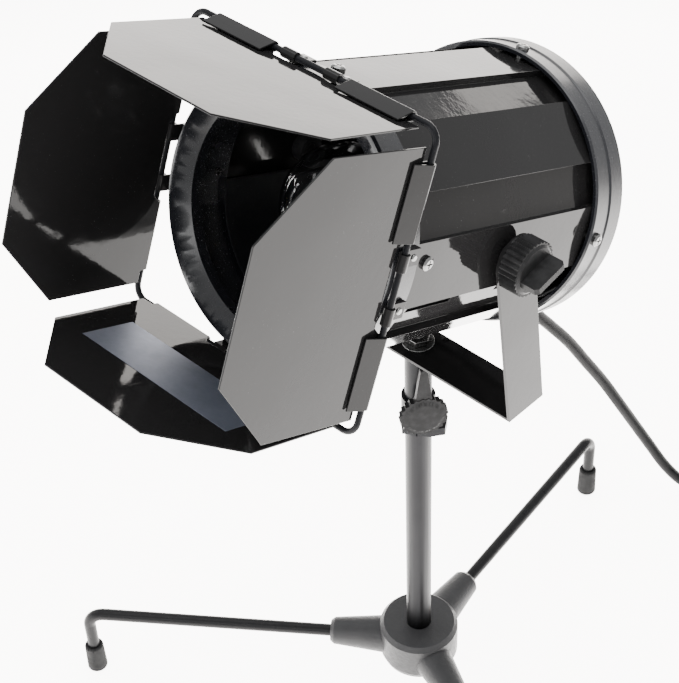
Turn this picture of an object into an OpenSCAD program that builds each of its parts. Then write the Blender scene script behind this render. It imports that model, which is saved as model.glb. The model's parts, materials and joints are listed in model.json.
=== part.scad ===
// Stage spotlight on a telescoping tripod stand.
// Millimetres, +Z up. The origin is on the floor under the stand's axis, and the beam leaves towards -Y.

/* [Stand base] */
// Distance from the stand's axis to each foot's centre
leg_reach = 180; // [140:5:240]
// Diameter of the leg rods
leg_rod_d = 6.4; // [5:0.2:8]
// Height of the leg rods' centreline above the floor
leg_height = 45; // [38:1:60]
// Direction of the first leg, in degrees
leg_turn = 217.3; // [210:0.1:225]
// Inside radius of the bend at the end of each leg
leg_bend_r = 6; // [5:0.5:9]
// Diameter of the rubber feet
foot_d = 11; // [10:0.5:14]
// Height of the rubber feet
foot_h = 19; // [12:1:24]
// Diameter of the hub drum
hub_d = 41; // [38:1:50]
// Height of the hub drum
hub_h = 27; // [24:1:34]
// Distance from the axis to the end of each leg boss
boss_reach = 47; // [40:1:60]

/* [Stand column] */
// Outer diameter of the stand tube
stand_tube_d = 12.7; // [10.5:0.1:16]
// Wall of the stand tube
stand_tube_wall = 0.75; // [0.6:0.05:0.9]
// Wall of the telescoping mast tube
mast_wall = 0.8; // [0.6:0.05:1.0]
// Radial clearance of running fits
run_clear = 0.08; // [0.05:0.01:0.1]
// Height of the clamp collar's underside
collar_z = 203.5; // [180:0.5:215]
// Height of the clamp collar
collar_h = 20; // [18:1:26]
// Wall of the clamp collar round the stand tube
collar_wall = 1.65; // [1.4:0.05:3]
// Diameter of the height knob
height_knob_d = 23; // [20:1:26]
// Length of mast hidden in the stand tube at the lowest setting
mast_hidden = 125; // [110:5:150]

/* [Yoke] */
// Height of the yoke strip's underside above the floor
yoke_z = 254.3; // [250:0.1:275]
// Width of the yoke's flat bar
yoke_w = 22.6; // [18:0.2:26]
// Thickness of the yoke's flat bar
yoke_t = 1.4; // [1.2:0.1:2]
// Height of the tilt pivot above the floor
pivot_z = 344.2; // [342:0.1:370]
// Distance that the arms lean towards the front at the pivot
yoke_rake = 11.6; // [0:0.2:12]
// Diameter of the tilt screws
tilt_screw_d = 5; // [4:0.5:6]
// Diameter of the tilt knobs
tilt_knob_d = 24; // [20:1:26]
// Depth of the tilt knobs' ribbed wheel
tilt_knob_h = 8.4; // [7:0.2:11]
// Length of the spacer between the barrel and each arm
spacer_l = 3.9; // [3:0.1:6]

/* [Lamp head] */
// Angle of the beam above the horizon, in degrees
head_tilt = 22.7; // [0:0.1:26]
// Distance from the lamp's axis to the raised flats
flat_r = 57; // [46:0.5:58]
// Depth of the recessed flats below the raised ones
flat_step = 2.2; // [1.5:0.1:3]
// Sheet thickness of the barrel
barrel_wall = 1; // [0.8:0.1:1.2]
// Distance from the pivot to the front ring's face
ring_front = 75.2; // [70:0.2:85]
// Distance from the pivot to the rear ring's face
ring_rear = 74; // [70:0.5:78]
// Distance that the front ring stands out past the flats
front_lip = 2.2; // [2:0.1:3]
// Width of the front ring's funnel
funnel_w = 9.9; // [6:0.1:16]
// Distance that the rear ring stands out past the flats
rear_lip = 4.8; // [4.8:0.1:6]
// Diameter of the globe bulb
bulb_d = 52; // [40:1:56]

/* [Barn doors] */
// Distance from the barrel's flats to the hinge wire
loop_gap = 5; // [4.6:0.1:8]
// Diameter of the hinge wire
wire_d = 2.6; // [2.2:0.1:3.2]
// Corner radius of the hinge loop
loop_corner_r = 6; // [4:0.5:8]
// Sheet thickness of the doors and straps
door_t = 0.8; // [0.6:0.1:1]
// Distance from the hinge loop's corner to a door's side
door_gap = 6.9; // [6.5:0.1:12]
// Depth of a door from the wire to its front edge
door_depth = 77.9; // [60:0.1:84]
// Size of the corners cut off a door
door_chamfer = 28.5; // [20:0.5:36]
// Length of the lip that returns from the hinge
lip_l = 8; // [5:0.5:10]
// Angle that the right door is closed, in degrees
right_door_close = 2.6; // [0:0.1:10]
// Width of a hinge strap
strap_w = 7; // [5:0.5:9]
// Distance from a door's middle to each strap's centre
strap_x = 10.9; // [9:0.1:11.5]

/* [Mains lead] */
// Diameter of the cord
cord_d = 6.2; // [6:0.1:6.6]

/* [Hidden] */
$fn = 64;

// Stand
hub_z = leg_height - hub_h/2;
hub_top = leg_height + hub_h/2;
hub_floor = 4;
rod_r = leg_rod_d/2;
fit = 0.05;
tube_r = stand_tube_d/2;
collar_d = stand_tube_d + 2*collar_wall;
tube_bore = tube_r - stand_tube_wall;
mast_r = tube_bore - run_clear;
mast_bore = mast_r - mast_wall;
collar_top = collar_z + collar_h;
stand_tube_top = collar_z + 8.5;
hub_screw_r = 2.5;
ferrule_z = collar_top + 0.3;
mast_top = yoke_z - 1.3;
knob_dir = -36;
lug_dir = -58;
lug_h = 4.6;
height_knob_z = collar_top - 3;
height_screw_r = 2;
height_knob_in = collar_d/2 + 1.2;
// Yoke
bar_r = yoke_w/2;
pan_r = 3;
screw_r = tilt_screw_d/2;
arm_in = flat_r + spacer_l + 0.1;
arm_out = arm_in + yoke_t;
knob_gap = 0.2;
pivot_y = -yoke_rake;
// Head
front_ring_r = flat_r + front_lip;
mouth_r = front_ring_r - funnel_w;
rear_ring_r = flat_r + rear_lip;
inner_flat = flat_r - barrel_wall;
recess_r = flat_r - flat_step;
inner_recess = recess_r - barrel_wall;
raised_half = 13.5;
recess_half = 22.5 - raised_half;
inner_half = raised_half - 1.1;
inner_recess_half = 22.5 - inner_half;
barrel_front = ring_front - 13.4;
barrel_rear = ring_rear - 2.3;
cap_r = rear_ring_r - 2.2;
vent_y = [[-50, 28], [8, 28]];
pivot_hole_r = 4;
small_r = 1.5;
ring_screw_y = ring_rear - 15;
front_screw_y = 8;
front_screw_z = -5;
skirt_r = inner_recess - 0.2;
skirt_l = 14;
cord_exit = cap_r - 11.6;
relief_l = 21;
bulb_r = bulb_d/2;
bulb_y = -35;
base_y = bulb_y + bulb_r + 3;
socket_y = base_y + 40;
// Doors
wire_r = wire_d/2;
hem_r = wire_r + 0.1;
hem_out = hem_r + door_t;
half_side = flat_r + loop_gap;
loop_side = 2*half_side;
hinge_f = ring_front + 0.8;
half_door = half_side - door_gap;
label_w = 2*half_door - 30.2;
hem_a = 19;
hem_b = half_door - 5.5;
notch = 3.5;
// Cord, as points in the row frame
cord_r = cord_d/2;
cord_joint_dir = [0, 0.609, -0.793];
function beside_exit(y, z) = [0, pivot_y + y*cos(head_tilt) + z*sin(head_tilt), pivot_z - y*sin(head_tilt) + z*cos(head_tilt)];
stub_points = [beside_exit(60, -cord_exit), beside_exit(77, -cord_exit), beside_exit(94, -cord_exit), beside_exit(100.5, -cord_exit - 0.9),
    beside_exit(106.5, -cord_exit - 3.9), beside_exit(112.4, -cord_exit - 8.7), [0, 74, 240.6], [0, 78.4, 231.4], [0, 83.5, 221.6], [0, 89.3, 212.6]];
cord_points = [[0, 89.5, 212.3], [0.5, 98, 201.2], [1.5, 114, 179.7], [2.6, 130, 155], [4, 145, 131.6],
    [6.5, 160.5, 104.5], [9, 176.4, 76.4], [12, 188, 55], [16, 199, 34], [21, 209, 17.5],
    [25.5, 217, 8.4], [31, 226, 4], [36, 234.5, 3.2], [40, 241.5, 3.2]];
coil_at = [85, 235];
coil_mid_r = 36;
coil_in_r = coil_mid_r - 3*cord_r - 0.1;
coil_out_r = coil_mid_r + 3*cord_r + 0.1;
coil_h = 2*cord_d + 0.2;
tail_points = [[127.2, 218, 9.2], [127.2, 211, 8.4], [127.2, 204, 7.6], [127.2, 196, 6.9], [127.2, 190, 6.8]];

// A tube swept along points, one ring of eight sides at each
function unit(v) = v/norm(v);
function along(p, i, first, last) =
    i == 0 ? first : i == len(p) - 1 ? last : unit(unit(p[i] - p[i - 1]) + unit(p[i + 1] - p[i]));
function side(d) = unit(cross(d, abs(d[0]) < 0.9 ? [1, 0, 0] : [0, 1, 0]));
module sweep(p, r, first, last, n = 10) {
    rings = [for (i = [0:len(p) - 1]) let (d = along(p, i, first, last), u = side(d), v = cross(d, u))
        for (k = [0:n - 1]) p[i] + r*(cos(360*k/n)*u + sin(360*k/n)*v)];
    m = len(p);
    polyhedron(rings, concat(
        [[for (k = [0:n - 1]) k]],
        [for (i = [0:m - 2], k = [0:n - 1]) [i*n + k, (i + 1)*n + k, (i + 1)*n + (k + 1) % n, i*n + (k + 1) % n]],
        [[for (k = [n - 1:-1:0]) (m - 1)*n + k]]), convexity = 4);
}
// A lathe about the lamp's axis, with its second coordinate measured towards the front or the rear
module front_lathe(p) rotate([90, 0, 0]) rotate_extrude($fn = 120) polygon(p);
module rear_lathe(p) rotate([-90, 0, 0]) rotate_extrude($fn = 120) polygon(p);
// Turns the lamp's own axes to where it stands, tilted on the yoke
module on_head() translate([0, pivot_y, pivot_z]) rotate([-head_tilt, 0, 0]) children();
// Repeats on the four sides of the lamp, from the top clockwise as seen from the front
module four() for (k = [0:3]) rotate([0, 90*k, 0]) children();
module on_leg(k) rotate([0, 0, leg_turn + 120*k]) children();

// Cast hub: a drum with three tapered bosses for the leg rods
module hub() color("dimgray") difference() {
    union() {
        rotate_extrude() polygon([[0, hub_z], [hub_d/2 - 6.5, hub_z], [hub_d/2 - 1.5, hub_z + 3], [hub_d/2, hub_z + 7],
            [hub_d/2, hub_top - 2.5], [hub_d/2 - 2, hub_top], [0, hub_top]]);
        for (k = [0:2]) on_leg(k) translate([0, 0, leg_height]) rotate([0, 90, 0]) {
            translate([0, 0, 12]) cylinder(h = boss_reach - 14, r1 = rod_r + 7.4, r2 = rod_r + 4);
            translate([0, 0, boss_reach - 2]) cylinder(h = 2, r1 = rod_r + 4, r2 = rod_r + 2.4);
        }
    }
    translate([0, 0, hub_z + hub_floor]) cylinder(h = hub_h, r = tube_r + fit);
    translate([0, 0, hub_z - 1]) cylinder(h = hub_floor + 2, r = hub_screw_r + fit);
    for (k = [0:2]) on_leg(k) translate([tube_r + 6, 0, leg_height]) rotate([0, 90, 0]) cylinder(h = boss_reach, r = rod_r + fit);
}

// Screw that draws the tube into the hub, with its washer
module hub_bolt() color("silver") difference() {
    translate([0, 0, hub_z - 4.6]) {
        translate([0, 0, 3.4]) cylinder(h = 1.2, r = 8);
        cylinder(h = 3.4, r = 4.6);
        translate([0, 0, 4.6]) cylinder(h = hub_floor + 10, r = hub_screw_r);
    }
    translate([0, 0, hub_z - 5.6]) cylinder(h = 3, r = 2.9, $fn = 6);
}

// Leg rod, bent down at its end
module leg(k) color("dimgray") on_leg(k) {
    bend = leg_bend_r + rod_r;
    translate([tube_r + 6.1, 0, leg_height]) rotate([0, 90, 0]) cylinder(h = leg_reach - bend - tube_r - 6.1, r = rod_r);
    translate([leg_reach - bend, 0, leg_height - bend]) rotate([90, 0, 0]) rotate_extrude(angle = 90) translate([bend, 0]) circle(r = rod_r);
    translate([leg_reach, 0, 3.1]) cylinder(h = leg_height - bend - 3.1, r = rod_r);
}

// Rubber tip pushed over the rod's end
module foot(k) color([0.25, 0.25, 0.26]) on_leg(k) translate([leg_reach, 0, 0]) rotate_extrude()
    polygon([[0, 0], [foot_d/2 - 0.8, 0], [foot_d/2, 0.8], [foot_d/2 - 0.4, foot_h - 1.2], [foot_d/2 - 1.2, foot_h],
        [rod_r + fit, foot_h], [rod_r + fit, 3], [0, 3]]);

// Outer tube of the stand, plugged at its foot for the hub screw
module stand_tube() color([0.45, 0.46, 0.48]) translate([0, 0, hub_z + hub_floor]) difference() {
    cylinder(h = stand_tube_top - hub_z - hub_floor, r = tube_r);
    translate([0, 0, 12]) cylinder(h = stand_tube_top, r = tube_bore);
    translate([0, 0, -1]) cylinder(h = 14, r = hub_screw_r + fit);
}

// Clamp collar on top of the stand tube, with a flat lug at its foot
module stand_collar() color([0.16, 0.16, 0.17]) difference() {
    union() {
        translate([0, 0, collar_z]) cylinder(h = collar_h, r = collar_d/2);
        rotate([0, 0, lug_dir]) translate([-2, -6.5, collar_z]) cube([9.4, 20, lug_h]);
    }
    translate([0, 0, collar_z - 9]) cylinder(h = stand_tube_top - collar_z + 9, r = tube_r + fit);
    translate([0, 0, collar_z - 9]) cylinder(h = collar_h + 20, r = mast_r + run_clear);
    rotate([0, 0, knob_dir]) translate([0, 0, height_knob_z]) rotate([0, 90, 0]) cylinder(h = collar_d, r = height_screw_r + fit);
    rotate([0, 0, knob_dir]) translate([height_knob_in + 0.2, -20, collar_z - 1]) cube([20, 40, lug_h + 2]);
}

// Outline of a ribbed wheel
module ribbed(d, n) polygon([for (i = [0:2*n - 1]) let (r = i % 2 == 0 ? d/2 : d/2 - 0.9, a = 360*(i + 0.5)/(2*n)) r*[cos(a), sin(a)]]);

// Thumb knob that clamps the mast, with an upright finger tab
module height_knob() color([0.1, 0.1, 0.11]) rotate([0, 0, knob_dir]) translate([height_knob_in, 0, height_knob_z]) rotate([0, 90, 0]) {
    linear_extrude(height = 3.6) ribbed(height_knob_d, 24);
    translate([0, 0, 3.6]) cylinder(h = 1.2, r1 = height_knob_d/2 - 1.6, r2 = height_knob_d/2 - 4);
    translate([-height_knob_d/2 + 1.5, 0, 0.5]) linear_extrude(height = 2.8) polygon([[0, -4], [-5, -3.3], [-8, -3], [-18, -1.6],
        [-18.8, 0], [-18, 1.6], [-8, 3], [-5, 3.3], [0, 4]]);
    translate([0, 0, mast_r + 0.35 - height_knob_in]) cylinder(h = height_knob_in - mast_r - 0.35, r = height_screw_r);
}

// Telescoping mast tube
module mast_tube() color([0.55, 0.56, 0.58]) translate([0, 0, stand_tube_top - mast_hidden]) difference() {
    cylinder(h = mast_top - stand_tube_top + mast_hidden, r = mast_r);
    translate([0, 0, -1]) cylinder(h = mast_top - stand_tube_top + mast_hidden + 2, r = mast_bore);
}

// Ferrule that rests on the collar when the mast is down
module mast_ferrule() color([0.45, 0.46, 0.48]) translate([0, 0, ferrule_z]) difference() {
    cylinder(h = mast_top - ferrule_z, r = tube_r);
    translate([0, 0, -1]) cylinder(h = mast_top - ferrule_z + 2, r = mast_r + fit);
}

// Plug and threaded stud in the mast's top
module mast_stud() color("silver") {
    translate([0, 0, mast_top - 15]) cylinder(h = 15, r = mast_bore - fit);
    translate([0, 0, mast_top]) cylinder(h = yoke_z - 0.05 - mast_top, r = tube_r);
    translate([0, 0, mast_top]) cylinder(h = yoke_t + 6.4, r = pan_r);
}

// Nut on the stud
module pan_nut() color("silver") translate([0, 0, yoke_z + yoke_t + 1.1]) difference() {
    cylinder(h = 3.2, r = 5.8, $fn = 6);
    translate([0, 0, -1]) cylinder(h = 6, r = pan_r + fit);
}

// Washer between the yoke and its nut
module pan_washer() color("silver") translate([0, 0, yoke_z + yoke_t + 0.05]) difference() {
    cylinder(h = 1, r = 7.5);
    translate([0, 0, -1]) cylinder(h = 3, r = pan_r + fit);
}

// One arm of the yoke, leaning forward to the pivot
module arm_outline() {
    polygon([[-bar_r, yoke_z], [bar_r, yoke_z], [bar_r - yoke_rake, pivot_z], [-bar_r - yoke_rake, pivot_z]]);
    translate([-yoke_rake, pivot_z]) circle(r = bar_r);
}
module yoke() color([0.07, 0.07, 0.08]) difference() {
    union() {
        translate([-arm_out, -bar_r, yoke_z]) cube([2*arm_out, yoke_w, yoke_t]);
        for (s = [-arm_out, arm_in]) translate([s, 0, 0]) rotate([90, 0, 90]) linear_extrude(height = yoke_t) arm_outline();
    }
    translate([0, 0, yoke_z - 1]) cylinder(h = yoke_t + 2, r = pan_r + fit);
    translate([-arm_out - 1, pivot_y, pivot_z]) rotate([0, 90, 0]) cylinder(h = 2*arm_out + 2, r = screw_r + fit);
}

// Tilt knob: ribbed wheel, finger bar and screw
module tilt_knob(s) color([0.1, 0.1, 0.11]) translate([0, pivot_y, pivot_z]) rotate([0, 90*s, 0]) {
    translate([0, 0, arm_out + knob_gap]) linear_extrude(height = tilt_knob_h) ribbed(tilt_knob_d, 32);
    translate([0, 0, arm_out + knob_gap + tilt_knob_h]) cylinder(h = 0.8, r1 = tilt_knob_d/2 - 1.2, r2 = tilt_knob_d/2 - 2.4);
    translate([0, 0, arm_out + knob_gap + tilt_knob_h]) rotate([0, 0, s > 0 ? 12 : -12]) rotate([0, -90, 0]) translate([0, 0, -1.5])
        linear_extrude(height = 3) polygon([[0, -9], [7.5, -9], [9, -7.6], [9, 7.6], [7.5, 9], [0, 9]]);
    translate([0, 0, inner_flat - 4.5]) cylinder(h = arm_out + knob_gap - inner_flat + 4.5, r = screw_r);
}

// Folded barrel of eight raised and eight recessed flats
function corner(r, half, a) = (r/cos(half))*[cos(a), sin(a)];
function sixteen(r1, h1, r2, h2) = [for (k = [0:7]) each [corner(r1, h1, 45*k - h1), corner(r1, h1, 45*k + h1),
    corner(r2, h2, 45*k + 22.5 - h2), corner(r2, h2, 45*k + 22.5 + h2)]];
module barrel_shell() color([0.06, 0.06, 0.07]) on_head() difference() {
    rotate([-90, 0, 0]) translate([0, 0, -barrel_front]) linear_extrude(height = barrel_front + barrel_rear)
        difference() {
            polygon(sixteen(flat_r, raised_half, recess_r, recess_half));
            polygon(sixteen(inner_flat, inner_half, inner_recess, inner_recess_half));
        }
    rotate([0, 90, 0]) cylinder(h = 4*flat_r, r = pivot_hole_r, center = true);
    for (v = vent_y) {
        for (s = [-1, 1]) {
            rotate([0, s > 0 ? 22.5 : 157.5, 0]) translate([recess_r - 6, v[0], s > 0 ? 1.5 : -8.4]) cube([8, v[1], 6.9]);
            rotate([0, s > 0 ? 67.5 : 112.5, 0]) translate([recess_r - 6, v[0], -6.5]) cube([8, v[1], 13]);
        }
    }
    rotate([0, 90, 0]) translate([flat_r - 6, 12, -10]) cube([8, 30, 20]);
    four() {
        translate([0, ring_screw_y, 0]) cylinder(h = 2*flat_r, r = small_r + fit);
        translate([front_screw_z, -barrel_front + front_screw_y, 0]) cylinder(h = 2*flat_r, r = small_r + fit);
    }
}

// Threaded bushes that space the barrel from the arms
module pivot_bushes() color("silver") on_head() for (s = [-1, 1]) rotate([0, 90*s, 0]) difference() {
    union() {
        translate([0, 0, flat_r]) cylinder(h = spacer_l, r = 5);
        translate([0, 0, inner_flat - 0.1]) cylinder(h = barrel_wall + 0.2, r = pivot_hole_r - fit);
        translate([0, 0, inner_flat - 5.5]) cylinder(h = 5.5, r = 6.5);
    }
    translate([0, 0, inner_flat - 7]) cylinder(h = spacer_l + 10, r = screw_r + fit);
}

// Pressed front ring: outer band, funnel face and a skirt inside the barrel
module front_ring() color([0.12, 0.12, 0.14]) on_head() difference() {
    front_lathe([[front_ring_r, ring_front - 13.2], [front_ring_r, ring_front - 1], [front_ring_r - 1, ring_front], [front_ring_r - 2.2, ring_front],
        [mouth_r, ring_front - 4], [mouth_r, ring_front - 9.2], [mouth_r + 1, ring_front - 9.2], [mouth_r + 1, ring_front - 4.6],
        [front_ring_r - 2.2, ring_front - 1.1], [front_ring_r - 1, ring_front - 1.2], [front_ring_r - 1, ring_front - 12.2],
        [skirt_r - 1, ring_front - 12.2], [skirt_r - 1, barrel_front - skirt_l], [skirt_r, barrel_front - skirt_l], [skirt_r, ring_front - 13.2]]);
    four() translate([front_screw_z, -barrel_front + front_screw_y, 0]) cylinder(h = 2*flat_r, r = small_r + fit);
}

// Rolled rear ring over the barrel's end
module rear_ring() color([0.12, 0.12, 0.14]) on_head() difference() {
    rear_lathe([[flat_r + 1.8, ring_rear - 19], [rear_ring_r - 1.4, ring_rear - 19.4], [rear_ring_r - 0.6, ring_rear - 18.6],
        [rear_ring_r - 0.6, ring_rear - 10.2], [rear_ring_r, ring_rear - 9.4], [rear_ring_r, ring_rear - 0.8], [rear_ring_r - 0.8, ring_rear],
        [rear_ring_r - 6.5, ring_rear], [rear_ring_r - 6.5, ring_rear - 1], [rear_ring_r - 1.1, ring_rear - 1], [rear_ring_r - 1, ring_rear - 1.1],
        [rear_ring_r - 1, ring_rear - 9.1], [rear_ring_r - 1.6, ring_rear - 9.9], [rear_ring_r - 1.6, ring_rear - 18], [flat_r + 1.8, ring_rear - 18]]);
    four() translate([0, ring_screw_y, 0]) cylinder(h = 2*flat_r, r = small_r + fit);
}

// Vented rear cap
module rear_cap() color([0.08, 0.08, 0.09]) on_head() translate([0, ring_rear - 2.2, 0]) rotate([-90, 0, 0]) difference() {
    cylinder(h = 1.2, r = cap_r, $fn = 120);
    translate([0, cord_exit, -1]) cylinder(h = 4, r = cord_r + 1);
    for (k = [0:7]) rotate([0, 0, 45*k + 22.5]) translate([0, 0, -1]) linear_extrude(height = 4) intersection() {
        difference() { circle(r = cap_r - 4.1, $fn = 120); circle(r = cap_r - 9.6, $fn = 120); }
        polygon([[0, 0], [2*cap_r, -2*cap_r*tan(15)], [2*cap_r, 2*cap_r*tan(15)]]);
    }
    for (x = [-26:13:26]) translate([x - 2, -15, -1]) cube([4, 30, 4]);
}

// A pan-head screw with a cross recess, head base at the origin, pointing up
module pan_screw(l) difference() {
    union() {
        cylinder(h = 1.2, r = 2.9);
        translate([0, 0, 1.2]) cylinder(h = 0.7, r1 = 2.9, r2 = 2);
        translate([0, 0, -l]) cylinder(h = l, r = small_r);
    }
    for (a = [0, 90]) rotate([0, 0, a]) translate([-1.7, -0.3, 0.9]) cube([3.4, 0.6, 2]);
}
module ring_screws() color("silver") on_head() four() translate([0, ring_screw_y, rear_ring_r - 0.6]) pan_screw(8.5);
module front_screws() color("silver") on_head() four() translate([front_screw_z, -barrel_front + front_screw_y, flat_r]) pan_screw(5.5);

// Lamp holder, open towards the front
module lamp_socket() color([0.15, 0.15, 0.15]) on_head() front_lathe([[0, -socket_y], [9, -socket_y], [11, 2 - socket_y], [11, -base_y - 5.5],
    [10, -base_y - 4], [6.4, -base_y - 4], [6.4, -base_y - 19.5], [0, -base_y - 19.5]]);
// Bracket that holds the lamp holder off the rear cap
module socket_bracket() color([0.5, 0.5, 0.5]) on_head() {
    translate([-16, socket_y, -8]) cube([32, 1.2, 16]);
    for (s = [-1, 1]) {
        translate([s > 0 ? 14.8 : -16, socket_y + 1.2, -8]) cube([1.2, ring_rear - 3.4 - socket_y, 16]);
        translate([s > 0 ? 16 : -24, ring_rear - 3.4, -8]) cube([8, 1.2, 16]);
    }
}
// Globe bulb: clear envelope with a short neck
module bulb_glass() color([0.9, 0.95, 1, 0.3]) on_head() translate([0, bulb_y, 0]) rotate([-90, 0, 0]) difference() {
    union() {
        sphere(r = bulb_r, $fn = 96);
        translate([0, 0, bulb_r - 4]) cylinder(h = 7, r = 8);
    }
    sphere(r = bulb_r - 0.8, $fn = 96);
    translate([0, 0, bulb_r - 6]) cylinder(h = 12, r = 7.2);
}
// Screw base of the bulb
module bulb_base() color("gold") on_head() translate([0, base_y, 0]) rotate([-90, 0, 0]) {
    cylinder(h = 3, r1 = 8, r2 = 6.2);
    translate([0, 0, 3]) cylinder(h = 14.5, r = 6.2);
    translate([0, 0, 17.5]) cylinder(h = 1.4, r1 = 3.5, r2 = 2.5);
}
// Glass stem, support wires and filament
module filament() color([0.8, 0.8, 0.8]) on_head() translate([0, bulb_y, 0]) {
    rotate([-90, 0, 0]) translate([0, 0, 4]) cylinder(h = bulb_r - 1, r = 1.6);
    for (s = [-1, 1]) rotate([90, 0, 0]) rotate([0, 26*s, 0]) translate([0, 0, -5.5]) cylinder(h = 13, r = 0.3);
    translate([0, -6.6, 0]) rotate([0, 90, 0]) cylinder(h = 6.6, r = 0.35, center = true);
}

// Square loop of wire that the doors hinge on
module hinge_wire() color([0.1, 0.1, 0.11]) on_head() translate([0, -hinge_f, 0]) four() {
    translate([-half_side + loop_corner_r, 0, half_side]) rotate([0, 90, 0]) cylinder(h = loop_side - 2*loop_corner_r, r = wire_r, $fn = 32);
    translate([half_side - loop_corner_r, 0, half_side - loop_corner_r]) rotate([90, 0, 0]) rotate_extrude(angle = 90, $fn = 32)
        translate([loop_corner_r, 0]) circle(r = wire_r, $fn = 32);
}
// Straps that curl round the wire and sit on the front ring
module strap() difference() {
    union() {
        rotate([90, 0, 90]) linear_extrude(height = strap_w, center = true) {
            translate([-hinge_f, half_side]) circle(r = hem_out, $fn = 32);
            translate([-hinge_f, half_side - hem_out]) square([11.5, door_t]);
        }
        translate([-strap_w/2, -hinge_f + 4.2, half_side - 8]) cube([strap_w, 7.3, 8 - hem_out + 0.2]);
    }
    translate([0, -hinge_f, half_side]) rotate([0, 90, 0]) cylinder(h = 2*strap_w, r = wire_r, center = true, $fn = 32);
}
module hinge_straps() color([0.1, 0.1, 0.11]) on_head() difference() {
    four() for (s = [-1, 1]) translate([s*strap_x, 0, 0]) strap();
    rotate([90, 0, 0]) cylinder(h = 2*hinge_f, r = front_ring_r + 0.05, $fn = 120);
}
// Rivet heads on the straps
module strap_rivets() color([0.2, 0.2, 0.2]) on_head() four() for (s = [-1, 1])
    translate([s*strap_x, -hinge_f + 8.2, half_side - hem_out + door_t]) cylinder(h = 0.7, r1 = 1.6, r2 = 1.1, $fn = 24);

// Outline of a door, hinge at the bottom
module door_outline() polygon([[-half_door, 2.5], [-half_door, door_depth - door_chamfer], [-half_door + door_chamfer, door_depth],
    [half_door - door_chamfer, door_depth], [half_door, door_depth - door_chamfer], [half_door, 2.5],
    [hem_b, 2.5], [hem_b, 0], [hem_a, 0], [hem_a - 3, notch], [-hem_a + 3, notch], [-hem_a, 0], [-hem_b, 0], [-hem_b, 2.5]]);
// Door about its own wire, pointing towards the front
module door() {
    translate([0, 0, -hem_r]) rotate([180, 0, 0]) linear_extrude(height = door_t) door_outline();
    for (s = [-1, 1]) translate([s > 0 ? hem_a : -hem_b, 0, 0]) rotate([90, 0, 90]) linear_extrude(height = hem_b - hem_a) {
        difference() {
            circle(r = hem_out, $fn = 32);
            circle(r = hem_r, $fn = 32);
            translate([-2*hem_out, -2*hem_out]) square([2*hem_out, 4*hem_out]);
        }
        translate([-lip_l, hem_r]) square([lip_l + 0.01, door_t]);
    }
}
module door_at(k, close = 0) color([0.06, 0.06, 0.07]) on_head() rotate([0, 90*k, 0]) translate([0, -hinge_f, half_side]) rotate([close, 0, 0]) door();
module door_top() door_at(0);
module door_right() door_at(1, right_door_close);
module door_bottom() door_at(2);
module door_left() door_at(3);
// Blank foil label on the bottom door's inner face
module blank_label() color([0.7, 0.73, 0.78]) on_head() translate([-label_w/2, -hinge_f - 48, -half_side + hem_out]) cube([label_w, 26, 0.2]);

// Tapered strain relief in the rear cap
module strain_relief() color([0.05, 0.05, 0.05]) on_head() translate([0, 0, -cord_exit]) rear_lathe([[cord_r + fit, ring_rear - 5], [cord_r + 2.6, ring_rear - 5],
    [cord_r + 2.6, ring_rear - 2.2], [cord_r + 0.9, ring_rear - 2.2], [cord_r + 0.9, ring_rear - 1], [cord_r + 2.2, ring_rear - 1], [cord_r + 2.2, ring_rear + 1.5],
    [cord_r + 0.6, ring_rear - 1 + relief_l], [cord_r + fit, ring_rear - 1 + relief_l]]);
// Cord from inside the lamp to where it hangs free
module cord_stub() color([0.05, 0.05, 0.05]) sweep(stub_points, cord_r, unit(stub_points[1] - stub_points[0]), cord_joint_dir);
// Cord from there down to the floor
module cord_tube() color([0.05, 0.05, 0.05]) sweep(cord_points, cord_r, cord_joint_dir, unit([0.5, 0.866, 0]));
// Spare cord in a flat coil
module cord_coil() color([0.05, 0.05, 0.05]) translate([coil_at[0], coil_at[1], 0]) rotate_extrude()
    polygon([[coil_in_r, 0], [coil_out_r, 0], [coil_out_r, coil_h], [coil_in_r, coil_h]]);
module cord_tail() color([0.05, 0.05, 0.05]) sweep(tail_points, cord_r, [0, -1, 0], [0, -1, 0]);
// Two-blade plug lying on the floor
module plug() color([0.06, 0.06, 0.06]) translate([tail_points[4][0], tail_points[4][1], tail_points[4][2]]) rotate([90, 0, 0]) {
    cylinder(h = 14, r1 = cord_r + 0.6, r2 = cord_r + 2.2);
    translate([0, 0, 14]) linear_extrude(height = 24) polygon([[-12, -4.8], [-10, -6.8], [10, -6.8], [12, -4.8], [12, 4.8], [10, 6.8], [-10, 6.8], [-12, 4.8]]);
}
module plug_blades() color("gold") translate([tail_points[4][0], tail_points[4][1] - 38, tail_points[4][2]]) for (s = [-6.35, 6.35])
    translate([s - 0.75, -16, -3.2]) cube([1.5, 16, 6.4]);

hub();
hub_bolt();
leg(0);  // leg_1
leg(1);  // leg_2
leg(2);  // leg_3
foot(0);  // foot_1
foot(1);  // foot_2
foot(2);  // foot_3
stand_tube();
stand_collar();
height_knob();
mast_tube();
mast_ferrule();
mast_stud();
pan_nut();
pan_washer();
yoke();
tilt_knob(1);  // tilt_knob_right
tilt_knob(-1);  // tilt_knob_left
barrel_shell();
pivot_bushes();
front_ring();
rear_ring();
rear_cap();
ring_screws();
front_screws();
lamp_socket();
socket_bracket();
bulb_glass();
bulb_base();
filament();
hinge_wire();
hinge_straps();
strap_rivets();
door_top();
door_right();
door_bottom();
door_left();
blank_label();
strain_relief();
cord_stub();
cord_tube();
cord_coil();
cord_tail();
plug();
plug_blades();
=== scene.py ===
import json
import math

import bmesh
import bpy
from mathutils import Matrix, Vector

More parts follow.
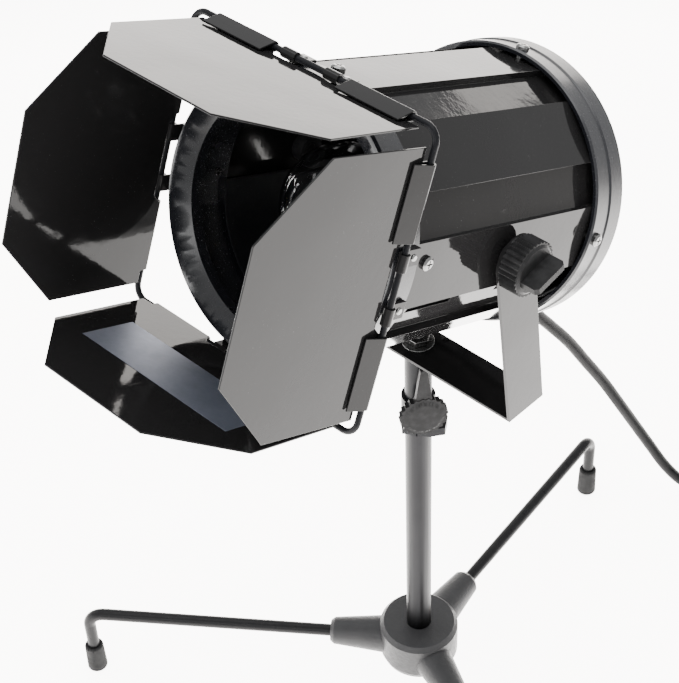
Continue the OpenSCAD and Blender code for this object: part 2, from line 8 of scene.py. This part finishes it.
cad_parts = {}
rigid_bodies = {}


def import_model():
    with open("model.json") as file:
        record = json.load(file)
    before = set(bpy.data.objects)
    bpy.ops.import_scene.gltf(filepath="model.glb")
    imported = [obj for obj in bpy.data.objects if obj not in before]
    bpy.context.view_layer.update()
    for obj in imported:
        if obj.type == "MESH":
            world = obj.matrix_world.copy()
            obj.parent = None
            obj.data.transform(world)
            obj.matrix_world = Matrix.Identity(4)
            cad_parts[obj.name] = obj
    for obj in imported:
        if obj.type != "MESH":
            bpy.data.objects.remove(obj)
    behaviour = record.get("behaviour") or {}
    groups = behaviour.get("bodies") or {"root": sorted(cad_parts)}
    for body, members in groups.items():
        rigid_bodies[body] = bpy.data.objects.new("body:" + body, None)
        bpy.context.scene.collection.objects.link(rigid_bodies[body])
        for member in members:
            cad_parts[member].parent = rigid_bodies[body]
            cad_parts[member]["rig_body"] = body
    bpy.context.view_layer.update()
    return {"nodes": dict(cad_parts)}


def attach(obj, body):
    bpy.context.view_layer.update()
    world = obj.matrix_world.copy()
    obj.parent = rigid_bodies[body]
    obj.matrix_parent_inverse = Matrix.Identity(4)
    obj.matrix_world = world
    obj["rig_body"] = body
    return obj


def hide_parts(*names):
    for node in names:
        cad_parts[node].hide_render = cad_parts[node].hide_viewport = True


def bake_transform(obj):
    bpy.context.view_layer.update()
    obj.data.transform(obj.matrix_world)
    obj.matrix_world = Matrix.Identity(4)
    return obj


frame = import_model()
node = frame["nodes"]

# ---------------------------------------------------------------- Studio
# A long lens looks down on the lamp from its front left quarter. Five plain
# soft boxes and a white surround light it.
camera = bpy.data.objects.new("camera", bpy.data.cameras.new("camera"))
bpy.context.scene.collection.objects.link(camera)
bpy.context.scene.camera = camera
look = Vector((-0.52816, 0.52184, -0.66987)).normalized()
right = Vector((0.72297, 0.69012, -0.03241)).normalized()
above = right.cross(look)
camera.matrix_world = Matrix((right, above, -look)).transposed().to_4x4()
camera.location = (0.38456, -0.42965, 0.77731)
camera.data.sensor_fit = "HORIZONTAL"
camera.data.sensor_width = 36
camera.data.lens = 91.54
camera.data.clip_start = 0.02

SURROUND_STRENGTH = 1.5
world = bpy.data.worlds.new("studio")
bpy.context.scene.world = world
world.use_nodes = True
surround = world.node_tree.nodes["Background"]
surround.inputs["Color"].default_value = (1, 1, 1, 1)
surround.inputs["Strength"].default_value = SURROUND_STRENGTH


def soft_box(name, at, aim, size, power):
    """A rectangular studio light turned towards a point."""
    light = bpy.data.lights.new(name, "AREA")
    light.shape = "RECTANGLE"
    light.size, light.size_y = size
    light.energy = power
    box = bpy.data.objects.new(name, light)
    bpy.context.scene.collection.objects.link(box)
    box.location = at
    box.rotation_euler = (Vector(aim) - Vector(at)).to_track_quat("-Z", "Y").to_euler()
    box.visible_camera = False


soft_box("overhead_box", (-0.1, 0.1, 1.9), (0, 0, 0.3), (1.7, 1.7), 37)
soft_box("back_panel", (-1.24, 1.98, 0.46), (0, 0, 0.4), (2.0, 1.0), 38)
soft_box("front_box", (0.6, -1.8, 1.3), (0, 0, 0.3), (1.2, 0.6), 14)
soft_box("left_box", (-1.7, -0.7, 1.2), (0, 0, 0.35), (0.5, 0.9), 9)
soft_box("low_box", (-0.85, -1.4, 0.2), (0, 0, 0.35), (0.9, 0.36), 10)
bpy.data.lights["back_panel"].color = (1.0, 0.95, 0.9)

# ---------------------------------------------------------------- Mains lead
# Round two-core lamp flex in black vinyl, 6.2 mm across and about 1.74 m
# long. It leaves the rear cap, drops to the table and ends in a tied coil.


class Feed:
    """An output of a shader node. Sums written on it add Math nodes."""

    def __init__(self, finish, socket):
        self.finish, self.socket = finish, socket

    def worked(self, operation, other):
        return self.finish.add("ShaderNodeMath", {"operation": operation}, {0: self, 1: other})

    def __add__(self, other):
        return self.worked("ADD", other)

    def __mul__(self, other):
        return self.worked("MULTIPLY", other)

    __radd__, __rmul__ = __add__, __mul__


class Finish:
    """One surface finish: a material, its main shader and its nodes."""

    def __init__(self, name, color, roughness, **fixed):
        self.material = bpy.data.materials.new(name)
        self.material.use_nodes = True
        self.tree = self.material.node_tree
        self.shader = self.tree.nodes["Principled BSDF"]
        self.set({"Base Color": (*color, 1), "Roughness": roughness})
        self.set({key.replace("_", " "): value for key, value in fixed.items()})

    def join(self, value, socket):
        if isinstance(value, Feed):
            self.tree.links.new(value.socket, socket)
        else:
            socket.default_value = value

    def set(self, inputs):
        for key, value in inputs.items():
            self.join(value, self.shader.inputs[key])

    def add(self, kind, settings, inputs, output=0):
        """A node of a kind: its settings first, then its sockets."""
        made = self.tree.nodes.new(kind)
        for key, value in settings.items():
            setattr(made, key, value)
        for key, value in inputs.items():
            self.join(value, made.inputs[key])
        return Feed(self, made.outputs[output])

    def place(self):
        """Where a point lies on its own piece, in metres."""
        return self.add("ShaderNodeTexCoord", {}, {}, output="Object")

    def stretched(self, x, y, z):
        return self.add("ShaderNodeMapping", {"vector_type": "POINT"},
                        {"Vector": self.place(), "Scale": (x, y, z)})

    def noise(self, scale, detail, at=None, rough=0.5):
        return self.add("ShaderNodeTexNoise", {},
                        {"Vector": at or self.place(), "Scale": scale, "Detail": detail,
                         "Roughness": rough})

    def range(self, value, low, high, to_low, to_high):
        return self.add("ShaderNodeMapRange", {"clamp": True},
                        {"Value": value, "From Min": low, "From Max": high,
                         "To Min": to_low, "To Max": to_high})

    def mask(self, value, start, full):
        """Nothing below the start, and all of it from the full value up."""
        return self.range(value, start, full, 0.0, 1.0)

    def patches(self, value, least, most):
        """The middle run of a noise, stretched to go from least to most."""
        return self.range(value, 0.3, 0.7, least, most)

    def blend(self, factor, first, second):
        first, second = ((*c, 1) if isinstance(c, tuple) else c for c in (first, second))
        return self.add("ShaderNodeMix", {"data_type": "RGBA"},
                        {0: factor, 6: first, 7: second}, output=2)

    def bump(self, height, strength, distance):
        self.set({"Normal": self.add("ShaderNodeBump", {}, {
            "Strength": strength, "Distance": distance, "Height": height})})


def coat_with(piece, finish):
    piece.data.materials.clear()
    piece.data.materials.append(finish.material)


SHARP_EDGE = math.radians(50)


def shape(name, vertices, faces, finish, smooth=True):
    """A new piece from its corners and faces."""
    mesh = bpy.data.meshes.new(name)
    mesh.from_pydata([tuple(v) for v in vertices], [], faces)
    work = bmesh.new()
    work.from_mesh(mesh)
    bmesh.ops.recalc_face_normals(work, faces=work.faces)
    work.to_mesh(mesh)
    work.free()
    if smooth:
        mesh.shade_smooth()
        mesh.set_sharp_from_angle(angle=SHARP_EDGE)
    piece = bpy.data.objects.new(name, mesh)
    bpy.context.scene.collection.objects.link(piece)
    coat_with(piece, finish)
    return piece


def band_faces(row, count):
    """Faces between a ring of corners and the ring before it."""
    start, before = row * count, (row - 1) * count
    return [(before + n, before + (n + 1) % count, start + (n + 1) % count, start + n)
            for n in range(count)]


def end_faces(rows, count):
    """The two flat ends of a run of rings."""
    return [tuple(range(count - 1, -1, -1)), tuple(range((rows - 1) * count, rows * count))]


vinyl = Finish("lead_vinyl", (0.02, 0.02, 0.021), 0.34, IOR=1.07)
vinyl_dust = vinyl.mask(vinyl.noise(90, 3), 0.35, 0.75)
vinyl.set({"Base Color": vinyl.blend(vinyl_dust, (0.0035, 0.0035, 0.0037), (0.008, 0.008, 0.0083)),
           "Roughness": vinyl_dust * 0.16 + 0.3})
vinyl.bump(vinyl.noise(1400, 2), 0.25, 0.0002)

# The lead's route in millimetres: down from the cap, round the coil and out
# to the plug. Its turns lie a lead's width apart, the last ones on the first.
LEAD_WIDTH = 6.2
LEAD_SIDES = 20
LEAD_STEP = 0.0022
SPLINE_STEPS = 12
ON_TABLE = 3.2
pan_crossing, mast_crossing, touchdown = (0.5, 98, 201.2), (6.5, 160.5, 104.5), (25.5, 217, 8.4)
hanging = [(0, 25.2, 276.8), (0, 40.9, 270.2), (0, 56.6, 263.6), (0, 62.2, 260.3),
           (0, 66.6, 255.2), (0, 70.2, 248.5), (0, 74, 240.6), (0, 78.4, 231.4),
           (0, 83.5, 221.6), (0, 89.4, 212.45), pan_crossing, (1.5, 114, 179.7),
           (2.6, 130, 155), (4, 145, 131.6), mast_crossing, (9, 176.4, 76.4), (12, 188, 55),
           (16, 199, 34), (21, 209, 17.5), touchdown, (31, 226, 4), (36, 234.5, ON_TABLE),
           (40, 241.5, ON_TABLE)]
COIL_X, COIL_Y, COIL_RADIUS = 85, 235, 42.2
COIL_TURNS, COIL_START, COIL_STEPS, CLIMB_TURNS = 6.4167, 150, 154, 0.7
wound = []
for step in range(1, COIL_STEPS + 1):
    turn = step * COIL_TURNS / COIL_STEPS
    r = COIL_RADIUS - LEAD_WIDTH * min(turn, COIL_TURNS - turn)
    climb = min(1, max(0, (turn - COIL_TURNS / 2) / CLIMB_TURNS + 1))
    a = math.radians(COIL_START - 360 * turn)
    wound.append((COIL_X + r * math.cos(a), COIL_Y + r * math.sin(a),
                  ON_TABLE + LEAD_WIDTH * climb * climb * (3 - 2 * climb)))
to_plug = [(127.2, 226, 9.4), (127.2, 218, 9.2), (127.2, 211, 8.4), (127.2, 204, 7.6),
           (127.2, 196, 6.9), (127.2, 186, 6.8)]
route = [Vector(p) / 1000 for p in hanging + wound + to_plug]


def smooth_line(points, gap):
    """Points a set gap apart on a smooth curve through the given ones."""
    ends = [2 * points[0] - points[1], *points, 2 * points[-1] - points[-2]]
    fine = []
    for a, b, c, d in zip(ends, ends[1:], ends[2:], ends[3:]):
        for k in range(SPLINE_STEPS):
            t = k / SPLINE_STEPS
            fine.append(0.5 * (2 * b + (c - a) * t + (2 * a - 5 * b + 4 * c - d) * t ** 2
                               + (3 * b - a - 3 * c + d) * t ** 3))
    fine.append(points[-1].copy())
    line, left = [fine[0]], gap
    for a, b in zip(fine, fine[1:]):
        span = (b - a).length
        while span >= left:
            a = a + (b - a) * (left / span)
            line.append(a)
            span, left = (b - a).length, gap
        left -= span
    return line


lead_d = LEAD_WIDTH / 1000
lead_line = smooth_line(route, LEAD_STEP)
lead_rings, lead_side = [], Vector((1, 0, 0))
for k, point in enumerate(lead_line):
    along = (lead_line[min(k + 1, len(lead_line) - 1)] - lead_line[max(k - 1, 0)]).normalized()
    lead_side = (lead_side - along * lead_side.dot(along)).normalized()
    across = along.cross(lead_side)
    lead_rings.append([point + lead_d / 2 * (math.cos(s) * lead_side + math.sin(s) * across)
                       for s in [math.tau * n / LEAD_SIDES for n in range(LEAD_SIDES)]])


def lead_length(first, last):
    """Corners and faces of the lead between two places on its line."""
    rings = lead_rings[first:last + 1]
    faces = [face for row in range(1, len(rings)) for face in band_faces(row, LEAD_SIDES)]
    return [v for ring in rings for v in ring], faces + end_faces(len(rings), LEAD_SIDES)


def nearest_on_lead(place):
    distances = [(point - Vector(place) / 1000).length for point in lead_line]
    return distances.index(min(distances))


lead_cuts = [0, *map(nearest_on_lead, (pan_crossing, mast_crossing, touchdown)),
             len(lead_line) - 1]
lead_ways = [("lead_swinging", "hanging", "object"), ("lead_turning", "hanging", "object"),
             ("lead_lifting", "hanging", "object"), ("lead_lying", "coiled", "plug")]
leads, lead_spans = {}, {}
for (name, lay, far_end), first, last in zip(lead_ways, lead_cuts, lead_cuts[1:]):
    leads[name] = shape(name, *lead_length(first, last), vinyl)
    lead_spans[name] = lead_line[first:last + 1]
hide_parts("cord_stub")
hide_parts("cord_tube", "cord_coil", "cord_tail")
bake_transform(leads["lead_swinging"])
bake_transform(leads["lead_turning"])
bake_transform(leads["lead_lifting"])
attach(leads["lead_lying"], "stand")

# ---------------------------------------------------------------- Lead tie
# A hook and loop strap keeps the spare turns together. It is a flat band
# wrapped once round the coil, with its loose end lying on top.
strap = Finish("tie_strap", (0.03, 0.03, 0.032), 0.9)
strap.set({"Base Color": strap.blend(strap.noise(700, 3), (0.012, 0.012, 0.014),
                                     (0.07, 0.07, 0.075))})
strap.bump(strap.noise(2600, 1), 0.8, 0.0004)
STRAP_ROUND, STRAP_STEPS = 36, 44
STRAP_HALF_WIDTH, STRAP_THICK = 0.006, 0.0005
LOOSE_END_LIFT, LOOSE_END_STEPS = 0.0006, 3
TURNS_SQUARENESS = 0.45
TURNS_MIDDLE, TURNS_HALF_WIDE = 0.0322, 0.0146
TURNS_HEIGHT, TURNS_HALF_HIGH = 0.0072, 0.0066
wrapped = []
for s in range(STRAP_STEPS):
    a = math.tau * s / STRAP_ROUND
    out = LOOSE_END_LIFT * max(0, s - STRAP_ROUND + 1) / LOOSE_END_STEPS
    corner = Vector([math.copysign(abs(side) ** TURNS_SQUARENESS, side)
                     for side in (math.cos(a), math.sin(a))])
    wrapped.append((TURNS_MIDDLE + (TURNS_HALF_WIDE + out) * corner.x,
                    TURNS_HEIGHT + (TURNS_HALF_HIGH + out) * corner.y))
on_coil = (Matrix.Translation((COIL_X / 1000, COIL_Y / 1000, 0))
           @ Matrix.Rotation(math.radians(-62), 4, "Z"))
strap_corners, strap_faces = [], []
for k, (r, h) in enumerate(wrapped):
    before, after = wrapped[max(k - 1, 0)], wrapped[min(k + 1, len(wrapped) - 1)]
    flat = Vector((after[1] - before[1], before[0] - after[0])).normalized() * STRAP_THICK
    for side, thick in ((-1, 0), (1, 0), (1, 1), (-1, 1)):
        strap_corners.append(on_coil @ Vector((r + flat.x * thick, side * STRAP_HALF_WIDTH,
                                               h + flat.y * thick)))
    if k:
        strap_faces += band_faces(k, 4)
strap_faces += end_faces(len(wrapped), 4)
tie = shape("lead_tie", strap_corners, strap_faces, strap, smooth=False)
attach(tie, "stand")

# ---------------------------------------------------------------- Strain relief
# A ribbed vinyl sleeve moulded on the lead and snapped into the rear cap.
# It tapers towards the lead and has rings cut in it so that it bends.
tilt = Matrix.Translation((0, -0.0116, 0.3442)) @ Matrix.Rotation(math.radians(-22.7), 4, "X")
TURNED_SIDES = 48


def turned(name, profile, finish, place):
    """A closed profile of (radius, height) in millimetres, spun about the place's Z axis."""
    count = len(profile)
    corners, faces = [], []
    for s in range(TURNED_SIDES):
        a = math.tau * s / TURNED_SIDES
        corners += [place @ (Vector((r * math.cos(a), r * math.sin(a), h)) / 1000)
                    for r, h in profile]
        row, beside = s * count, (s + 1) % TURNED_SIDES * count
        faces += [(row + k, beside + k, beside + (k + 1) % count, row + (k + 1) % count)
                  for k in range(count)]
    return shape(name, corners, faces, finish)


ROUNDED_FROM = math.radians(32)


def rounded(piece, width, segments=3):
    """Rounds a piece's sharp edges and shades it smoothly."""
    edge = piece.modifiers.new("rounding", "BEVEL")
    edge.width, edge.segments = width, segments
    edge.limit_method, edge.angle_limit = "ANGLE", ROUNDED_FROM
    piece.data.shade_smooth()
    normals = piece.modifiers.new("normals", "WEIGHTED_NORMAL")
    normals.keep_sharp = True
    return piece


in_cap = (tilt @ (Matrix.Translation((0, 0, -0.048))
                  @ Matrix.Rotation(math.radians(-90), 4, "X")))
sleeve = [(3.15, 69), (5.7, 69), (5.7, 71.6), (4.1, 71.8), (4.1, 72.9), (5.5, 73), (6.0, 73.5),
          (6.0, 74.6), (5.5, 75.2)]
for k in range(6):
    y, r = 76.4 + 3.1 * k, 5.1 - 0.23 * k
    sleeve += [(r - 0.75, y), (r - 0.75, y + 0.7), (r, y + 1.0), (r + 0.05, y + 1.9),
               (r, y + 2.4)]
sleeve += [(3.5, 96), (3.15, 96.4)]
relief = rounded(turned("relief_sleeve", sleeve, vinyl, in_cap), 0.00018, segments=2)
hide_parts("strain_relief")
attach(relief, "head")

# ---------------------------------------------------------------- Plug
# A flat two-pole plug moulded in vinyl on the lead's end. It has a waisted
# grip with ribs, and two folded brass blades.
LOFT_SIDES = 40
LOFT_SQUARENESS = 0.5


def lofted(name, sections, finish, place):
    """A skin over rounded oblongs of (height, half width, half depth) in
    millimetres, one above another on the place's Z axis."""
    corners = []
    for h, wide, deep in sections:
        for k in range(LOFT_SIDES):
            a = math.tau * k / LOFT_SIDES
            x, y = (math.copysign(abs(side) ** LOFT_SQUARENESS, side) * half
                    for side, half in ((math.cos(a), wide), (math.sin(a), deep)))
            corners.append(place @ (Vector((x, y, h)) / 1000))
    faces = [face for row in range(1, len(sections)) for face in band_faces(row, LOFT_SIDES)]
    return shape(name, corners, faces + end_faces(len(sections), LOFT_SIDES), finish)


along_table = (Matrix.Translation((0.1272, 0.190, 0.0068))
               @ Matrix.Rotation(math.radians(90), 4, "X"))
grip = [(-21, 3.3, 3.3), (-20.5, 3.6, 3.6)]
for k in range(6):
    at, r = -19.5 + 3.2 * k, 3.9 + 0.28 * k
    grip += [(at, r, r), (at + 1.6, r, r), (at + 1.9, r - 0.6, r - 0.6),
             (at + 2.8, r - 0.6, r - 0.6)]
grip += [(0, 5.9, 5.5), (4, 7.2, 5.9), (9, 9.6, 6.2), (14, 11.2, 6.4)]
for k in range(4):
    at = 16 + 2.6 * k
    grip += [(at, 11.4, 6.5), (at + 1.3, 11.4, 6.5), (at + 1.5, 11.0, 6.05),
             (at + 2.4, 11.0, 6.05)]
grip += [(27, 11.8, 6.6), (36.6, 12.0, 6.7), (37.6, 11.6, 6.3), (38, 10.8, 5.6)]
plug = lofted("moulded_plug", grip, vinyl, along_table)
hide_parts("plug")
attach(plug, "stand")

brass = Finish("brass", (0.7, 0.5, 0.2), 0.25, Metallic=1.0)
brass.set({"Roughness": brass.patches(brass.noise(400, 3), 0.16, 0.4),
           "Base Color": brass.blend(brass.noise(120, 2), (0.78, 0.58, 0.27), (0.6, 0.42, 0.17))})
brass.bump(brass.noise(900, 2), 0.15, 0.0002)
WELD_GAP = 2e-6
FLAT_WITHIN = math.radians(0.6)


def remade(name, finish, width=0.0004, segments=2):
    """A CAD node's mesh in a new piece, welded, with its sharp edges rounded."""
    mesh = bpy.data.meshes.new(name + "_made")
    work = bmesh.new()
    work.from_mesh(node[name].data)
    bmesh.ops.remove_doubles(work, verts=work.verts, dist=WELD_GAP)
    bmesh.ops.dissolve_limit(work, angle_limit=FLAT_WITHIN, verts=work.verts, edges=work.edges)
    work.to_mesh(mesh)
    work.free()
    piece = bpy.data.objects.new(name + "_made", mesh)
    bpy.context.scene.collection.objects.link(piece)
    coat_with(piece, finish)
    rounded(piece, width, segments)
    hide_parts(name)
    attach(piece, node[name]["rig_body"])
    return piece


remade("plug_blades", brass, 0.0003)

for name, lay, far_end in lead_ways:
    line = lead_spans[name]
    sum((b - a).length for a, b in zip(line, line[1:]))

# ---------------------------------------------------------------- Hub
# Sand-cast hub with three bosses, painted satin dark grey. A plated socket
# screw under it draws the stand's tube in.
casting = Finish("hub_casting", (0.12, 0.12, 0.124), 0.42, IOR=1.25)
grain = casting.noise(520, 4, rough=0.6)
casting.set({"Base Color": casting.blend(casting.noise(60, 3), (0.017, 0.017, 0.018),
                                         (0.03, 0.03, 0.031)),
             "Roughness": casting.patches(grain, 0.34, 0.52)})
casting.bump(grain, 0.5, 0.0004)
remade("hub", casting, 0.0009, 3)

zinc = Finish("bright_plate", (0.72, 0.72, 0.71), 0.2, Metallic=1.0)
zinc.set({"Base Color": zinc.blend(zinc.noise(300, 3), (0.2, 0.2, 0.198), (0.12, 0.12, 0.118)),
          "Roughness": zinc.patches(zinc.noise(700, 3), 0.12, 0.34)})
zinc.bump(zinc.noise(1500, 2), 0.15, 0.0001)
remade("hub_bolt", zinc)

# ---------------------------------------------------------------- Legs
# Quarter inch steel rods, bent down at their ends and painted satin dark
# grey. Each end is pushed into a moulded rubber foot.
leg_paint = Finish("leg_paint", (0.075, 0.075, 0.079), 0.33, IOR=1.17)
leg_dust = leg_paint.mask(leg_paint.noise(1500, 2), 0.66, 0.74)
leg_paint.set({"Base Color": leg_paint.blend(leg_dust, (0.008, 0.008, 0.0085), (0.03, 0.03, 0.03)),
               "Roughness": leg_paint.patches(leg_paint.noise(240, 3), 0.24, 0.42)
               + leg_dust * 0.2})
leg_paint.bump(leg_paint.noise(900, 2), 0.2, 0.00025)

rubber = Finish("foot_rubber", (0.11, 0.11, 0.113), 0.75, IOR=1.2)
rubber.set({"Base Color": rubber.blend(rubber.noise(420, 4), (0.005, 0.005, 0.0052),
                                       (0.013, 0.013, 0.0133)),
            "Roughness": rubber.patches(rubber.noise(240, 3), 0.62, 0.85)})
rubber.bump(rubber.noise(1700, 3), 0.45, 0.0003)
for k in (1, 2, 3):
    remade(f"leg_{k}", leg_paint, 0.0005)
    remade(f"foot_{k}", rubber, 0.0008, 4)

# ---------------------------------------------------------------- Stand
# Half inch steel tube in a satin gunmetal finish, drawn lengthwise. A black
# clamp collar with a lug tops it.
gunmetal = Finish("gunmetal", (0.36, 0.36, 0.37), 0.3, Metallic=1.0)
draw_lines = gunmetal.noise(1.0, 3, at=gunmetal.stretched(1600, 1600, 12))
gunmetal.set({"Base Color": gunmetal.blend(gunmetal.noise(45, 3), (0.008, 0.008, 0.0086),
                                           (0.014, 0.014, 0.015)),
              "Roughness": gunmetal.patches(draw_lines, 0.34, 0.5)})
gunmetal.bump(draw_lines, 0.25, 0.00008)
remade("stand_tube", gunmetal, 0.0004)

satin = Finish("black_satin", (0.03, 0.031, 0.036), 0.3, IOR=1.16)
satin_dust = satin.mask(satin.noise(1700, 2), 0.67, 0.74)
satin.set({"Base Color": satin.blend(satin_dust, (0.006, 0.0063, 0.0075), (0.024, 0.024, 0.024)),
           "Roughness": satin.patches(satin.noise(130, 3), 0.3, 0.36) + satin_dust * 0.2})
satin.bump(satin.noise(800, 2), 0.2, 0.0002)
remade("stand_collar", satin, 0.0006, 3)

# ---------------------------------------------------------------- Knobs
# Thumb knobs moulded in satin black plastic round a screw: one clamps the
# mast, two clamp the tilt.
knob_black = Finish("knob_plastic", (0.03, 0.03, 0.032), 0.36, IOR=1.1)
knob_wear = knob_black.mask(knob_black.noise(260, 4), 0.4, 0.75)
knob_black.set({"Base Color": knob_black.blend(knob_wear, (0.012, 0.012, 0.0123),
                                               (0.02, 0.02, 0.0205)),
                "Roughness": knob_wear * 0.2 + 0.28})
knob_black.bump(knob_black.noise(2300, 2), 0.35, 0.00012)
for name in ("height_knob", "tilt_knob_right", "tilt_knob_left"):
    remade(name, knob_black, 0.00035, 3)

# ---------------------------------------------------------------- Mast
# Satin black tube that slides in the stand. Its ferrule holds a plated stud,
# on which a nut and a washer hold the yoke.
remade("mast_tube", satin, 0.0003)
remade("mast_ferrule", satin, 0.0005)
for name in ("mast_stud", "pan_nut", "pan_washer"):
    remade(name, zinc, 0.0003)

# ---------------------------------------------------------------- Yoke
# One strip of steel folded to a U with rounded corners, in gloss black
# enamel. It carries the lamp on two bushes.
enamel = Finish("black_enamel", (0.012, 0.012, 0.013), 0.1, IOR=1.45, Specular_IOR_Level=0.14)
waves = enamel.noise(13, 1.5)
peel = enamel.noise(330, 2)
specks = (enamel.mask(enamel.noise(1500, 2), 0.69, 0.75)
          * enamel.range(enamel.noise(30, 2), 0.42, 0.62, 0.15, 1.0))
rubs = enamel.mask(enamel.noise(1.0, 2, at=enamel.stretched(900, 60, 60)), 0.68, 0.76)
smears = enamel.mask(enamel.noise(38, 4, rough=0.6), 0.4, 0.75)
enamel.set({"Base Color": enamel.blend(specks, (0.009, 0.0088, 0.009), (0.035, 0.035, 0.035)),
            "Roughness": smears * 0.07 + rubs * 0.16 + specks * 0.3 + 0.035})
enamel.bump(waves + peel * 0.022, 0.5, 0.002)
remade("yoke", enamel, 0.0004, 3)

# ---------------------------------------------------------------- Barrel
# Sheet steel rolled into sixteen flats, raised and sunk by turns, in the
# same enamel. Spun rings close its ends, held by plated cross-head screws.
remade("barrel_shell", enamel, 0.0006, 3)
remade("pivot_bushes", knob_black, 0.0003)
rim = Finish("front_rim", (0.01, 0.011, 0.014), 0.26, IOR=1.42)
rim_dust = rim.mask(rim.noise(1500, 2), 0.67, 0.74)
rim.set({"Base Color": rim.blend(rim_dust, (0.007, 0.0075, 0.0095), (0.03, 0.03, 0.032)),
         "Roughness": rim.patches(rim.noise(90, 2), 0.22, 0.28) + rim_dust * 0.2})
rim.bump(rim.noise(500, 2), 0.12, 0.0002)
remade("front_ring", rim, 0.0005, 3)
remade("rear_ring", rim, 0.0005, 3)
remade("rear_cap", satin, 0.0006, 3)
for name in ("ring_screws", "front_screws"):
    remade(name, zinc, 0.00025)

# ---------------------------------------------------------------- Vent baffle
# A bent steel sheet in satin black hides the vents from the barrel's mouth.
# It stands off the lower wall, so that air passes behind it.
BAFFLE_STEPS = 16
BAFFLE_INSIDE, BAFFLE_OUTSIDE = 0.0507, 0.0513
BAFFLE_FRONT, BAFFLE_BACK = -0.0504, 0.052
baffle_corners, baffle_faces = [], []
for k in range(BAFFLE_STEPS + 1):
    a = math.radians(-9 - 162 * k / BAFFLE_STEPS)
    for r, y in ((BAFFLE_INSIDE, BAFFLE_FRONT), (BAFFLE_INSIDE, BAFFLE_BACK),
                 (BAFFLE_OUTSIDE, BAFFLE_BACK), (BAFFLE_OUTSIDE, BAFFLE_FRONT)):
        baffle_corners.append(tilt @ Vector((r * math.cos(a), y, r * math.sin(a))))
    if k:
        baffle_faces += band_faces(k, 4)
baffle_faces += end_faces(BAFFLE_STEPS + 1, 4)
baffle = rounded(shape("vent_baffle", baffle_corners, baffle_faces, satin), 0.00015)
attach(baffle, "head")

# ---------------------------------------------------------------- Lamp
# A clear globe bulb on a brass screw base. Its black moulded socket stands
# on a bent bracket of plated steel.
remade("socket_bracket", zinc, 0.0003)
remade("lamp_socket", knob_black, 0.0005)
remade("bulb_base", brass, 0.0003)
glass = Finish("clear_glass", (0.98, 0.99, 1.0), 0.02, IOR=1.48, Transmission_Weight=1.0)
glass.set({"Roughness": glass.range(glass.noise(160, 3), 0.5, 0.8, 0.0, 0.06)})
glass.bump(glass.noise(40, 2), 0.15, 0.0004)
remade("bulb_glass", glass, 0.0002)
tungsten = Finish("tungsten", (0.3, 0.3, 0.31), 0.4, Metallic=1.0)
tungsten.set({"Roughness": tungsten.patches(tungsten.noise(3000, 2), 0.3, 0.5)})
tungsten.bump(tungsten.noise(5000, 1), 0.3, 0.00005)
remade("filament", tungsten, 0.00002, 1)

# ---------------------------------------------------------------- Barn doors
# Four sheet steel leaves with cut corners and a returned lip, in gloss black
# enamel. They hinge on a square loop of wire held by riveted straps.
remade("hinge_wire", satin, 0.0002)
remade("hinge_straps", enamel, 0.0002)
remade("strap_rivets", zinc, 0.0002)
LIP_ROLL, LIP_REACH, LIP_ROOT = 17, 0.004, 0.0005
to_hinge = Matrix.Translation((0, -0.076, 0.062))
leaf_closed = {"door_top": 0, "door_right": 2.6, "door_bottom": 0, "door_left": 0}
for quarter, (name, closed) in enumerate(leaf_closed.items()):
    leaf = remade(name, enamel, 0.00022, 3)
    hinge = (tilt @ Matrix.Rotation(math.radians(90 * quarter), 4, "Y") @ to_hinge
             @ Matrix.Rotation(math.radians(closed), 4, "X"))
    for vertex in leaf.data.vertices:
        at = hinge.inverted() @ vertex.co
        if at.z > LIP_ROOT and at.y < -LIP_ROOT:
            roll = math.radians(LIP_ROLL * min(1, -at.y / LIP_REACH))
            vertex.co = hinge @ Matrix.Rotation(roll, 4, "X") @ at

# A bare foil label is stuck on the bottom leaf.
foil = Finish("label_foil", (0.6, 0.65, 0.74), 0.3, Metallic=0.7)
foil.set({"Base Color": foil.blend(foil.noise(90, 3), (0.1, 0.115, 0.15), (0.16, 0.175, 0.22)),
          "Roughness": foil.patches(foil.noise(500, 3), 0.42, 0.5)})
foil.bump(foil.noise(120, 2), 0.06, 0.0002)
remade("blank_label", foil, 0.00005, 1)

# ---------------------------------------------------------------- Table
# A seamless sheet of matt white board under the whole lamp. It glows evenly
# near the lamp, and the glow dies away towards its edges.
BOARD_HALF = 3
GLOW_FULL, GLOW_GONE = 0.7, 1.5
board = Finish("white_board", (0.86, 0.86, 0.85), 0.6, IOR=1.4, Emission_Strength=8.5)
board_tone = board.blend(board.noise(6, 3), (0.97, 0.945, 0.92), (1.0, 0.975, 0.95))
from_lamp = board.add("ShaderNodeVectorMath", {"operation": "LENGTH"}, {0: board.place()},
                      output="Value")
glow = board.range(from_lamp, GLOW_FULL, GLOW_GONE, 1.0, 0.0)
board.set({"Base Color": board_tone,
           "Emission Color": board.blend(glow, (0.0, 0.0, 0.0), board_tone)})
board.bump(board.noise(600, 3), 0.1, 0.0001)
board_corners = [(x * BOARD_HALF, y * BOARD_HALF, 0)
                 for x, y in ((-1, -1), (1, -1), (1, 1), (-1, 1))]
table = shape("table", board_corners, [(0, 1, 2, 3)], board, smooth=False)
